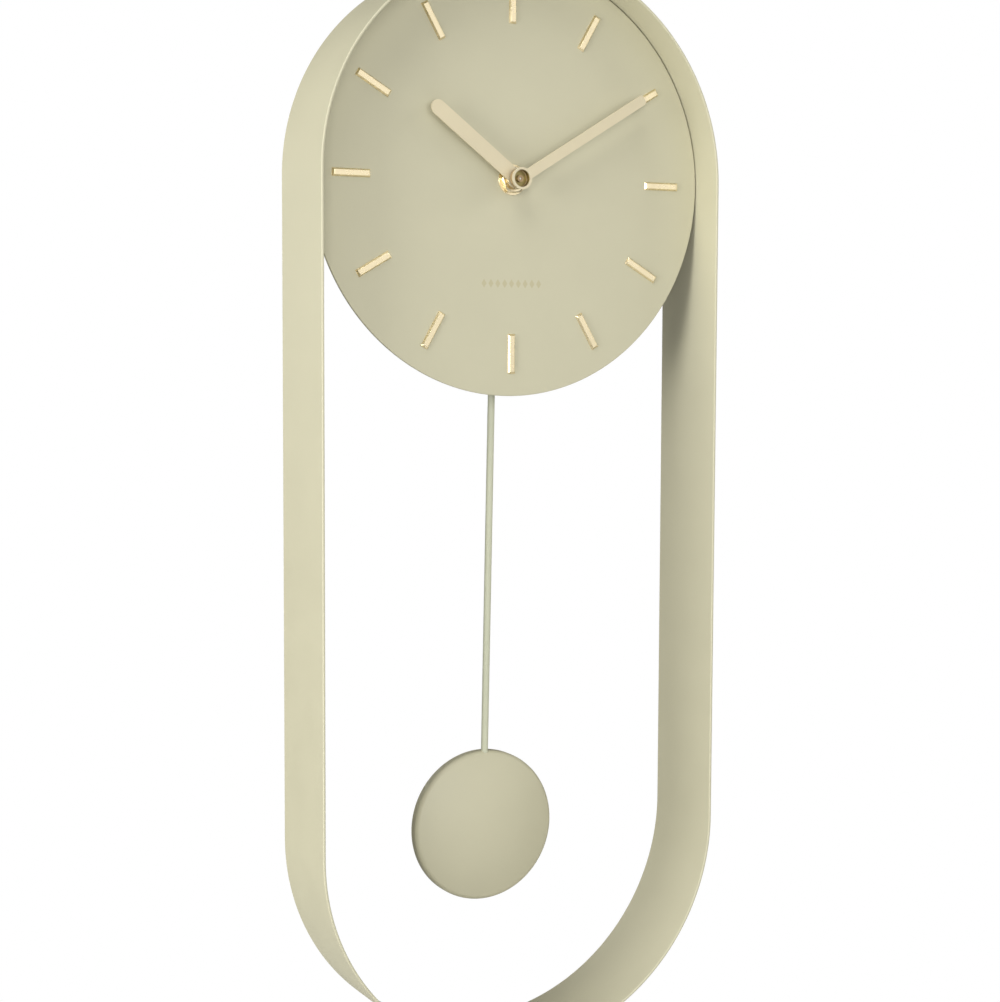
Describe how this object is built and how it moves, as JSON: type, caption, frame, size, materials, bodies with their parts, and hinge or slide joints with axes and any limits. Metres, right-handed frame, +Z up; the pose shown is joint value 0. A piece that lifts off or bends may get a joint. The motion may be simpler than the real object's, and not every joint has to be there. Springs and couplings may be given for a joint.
{
  "type": "pendulum wall clock",
  "caption": "Tall stadium-shaped band clock with a recessed round dial, baton markers, two hands and a swinging pendulum with a domed bob.",
  "frame": {"origin": "centre of the keyhole's round opening in the hanger bar, on the wall plane", "axes": "+X right as seen from the front, +Y into the wall (the dial faces -Y), +Z up"},
  "size_m": [0.2, 0.048, 0.5],
  "materials": {
    "sage_powder_coat": "matt powder coat, fine texture",
    "polished_gold": "polished",
    "satin_gold": "satin anodised champagne gold",
    "zinc_steel": "zinc plated",
    "coppered_steel": "copper flashed weld stud",
    "black_rubber": "matt",
    "black_abs": "fine moulded texture",
    "natural_acetal": "translucent natural moulding",
    "white_plastic": "semi gloss moulding",
    "magnet_alloy": "nickel plated magnet",
    "silicon_steel": "rolled lamination",
    "copper_wire": "enamelled winding",
    "board_green": "solder mask",
    "chip_resin": "black epoxy",
    "battery_wrap": "printed sleeve, plain"
  },
  "bodies": {
    "case": {"frame_band": "sage_powder_coat", "hanger_bar": "sage_powder_coat", "hanger_tabs": "sage_powder_coat", "dial_brackets": "sage_powder_coat", "dial_plate": "sage_powder_coat", "dial_studs": "coppered_steel", "stud_washers": "zinc_steel", "stud_nuts": "zinc_steel", "hour_markers": "polished_gold", "rubber_gasket": "black_rubber", "movement_case": "black_abs", "movement_cover": "black_abs", "cover_screws": "zinc_steel", "middle_plate": "natural_acetal", "train_plate": "natural_acetal", "threaded_bushing": "polished_gold", "dial_washer": "polished_gold", "hex_nut": "polished_gold", "stator": "silicon_steel", "coil_core": "silicon_steel", "motor_coil": "copper_wire", "circuit_board": "board_green", "chip": "chip_resin", "quartz_crystal": "zinc_steel", "battery": "battery_wrap", "positive_contact": "zinc_steel", "negative_contact": "zinc_steel", "coil_bobbin": "natural_acetal", "drive_coil": "copper_wire", "pivot_pin": "zinc_steel"},
    "minute": {"minute_arbor": "polished_gold", "centre_wheel": "natural_acetal", "minute_hand": "satin_gold", "minute_hand_cap": "polished_gold"},
    "hour": {"hour_wheel": "natural_acetal", "hour_collet": "polished_gold", "hour_hand": "satin_gold"},
    "minute_wheel": {"minute_wheel": "natural_acetal", "setting_knob": "white_plastic"},
    "third_wheel": {"third_wheel": "natural_acetal"},
    "seconds_wheel": {"seconds_wheel": "natural_acetal"},
    "fifth_wheel": {"fifth_wheel": "natural_acetal"},
    "rotor": {"rotor_pinion": "natural_acetal", "rotor_magnet": "magnet_alloy"},
    "pendulum": {"swing_arm": "natural_acetal", "drive_magnet": "magnet_alloy", "hook_pin": "zinc_steel", "pendulum_rod": "sage_powder_coat", "rod_sleeve": "zinc_steel", "bob_front": "sage_powder_coat", "bob_back": "sage_powder_coat"}
  },
  "joints": [
    {"name": "minute_turn", "type": "hinge", "parent": "case", "child": "minute", "pos_m": [0, -0.038, -0.06], "axis": [0, 1, 0], "continuous": true},
    {"name": "hour_turn", "type": "hinge", "parent": "case", "child": "hour", "pos_m": [0, -0.035, -0.06], "axis": [0, 1, 0], "continuous": true},
    {"name": "minute_wheel_turn", "type": "hinge", "parent": "case", "child": "minute_wheel", "pos_m": [-0.00688, -0.024, -0.05017], "axis": [0, 1, 0], "continuous": true},
    {"name": "third_wheel_turn", "type": "hinge", "parent": "case", "child": "third_wheel", "pos_m": [0.01152, -0.019, -0.06], "axis": [0, 1, 0], "continuous": true},
    {"name": "seconds_wheel_turn", "type": "hinge", "parent": "case", "child": "seconds_wheel", "pos_m": [0, -0.017, -0.06], "axis": [0, 1, 0], "continuous": true},
    {"name": "fifth_wheel_turn", "type": "hinge", "parent": "case", "child": "fifth_wheel", "pos_m": [0.0049, -0.015, -0.05151], "axis": [0, 1, 0], "continuous": true},
    {"name": "rotor_turn", "type": "hinge", "parent": "case", "child": "rotor", "pos_m": [0.0049, -0.012, -0.04251], "axis": [0, 1, 0], "continuous": true},
    {"name": "pendulum_swing", "type": "hinge", "parent": "case", "child": "pendulum", "pos_m": [0, -0.012, -0.094], "axis": [0, 1, 0], "range_deg": [-6, 4]}
  ],
  "couplings": [
    {"joint": "hour_turn", "follows": "minute_turn", "ratio": 0.083333},
    {"joint": "minute_wheel_turn", "follows": "minute_turn", "ratio": -0.33333},
    {"joint": "third_wheel_turn", "follows": "minute_turn", "ratio": -8},
    {"joint": "seconds_wheel_turn", "follows": "minute_turn", "ratio": 60},
    {"joint": "fifth_wheel_turn", "follows": "minute_turn", "ratio": -360},
    {"joint": "rotor_turn", "follows": "minute_turn", "ratio": 1800}
  ]
}
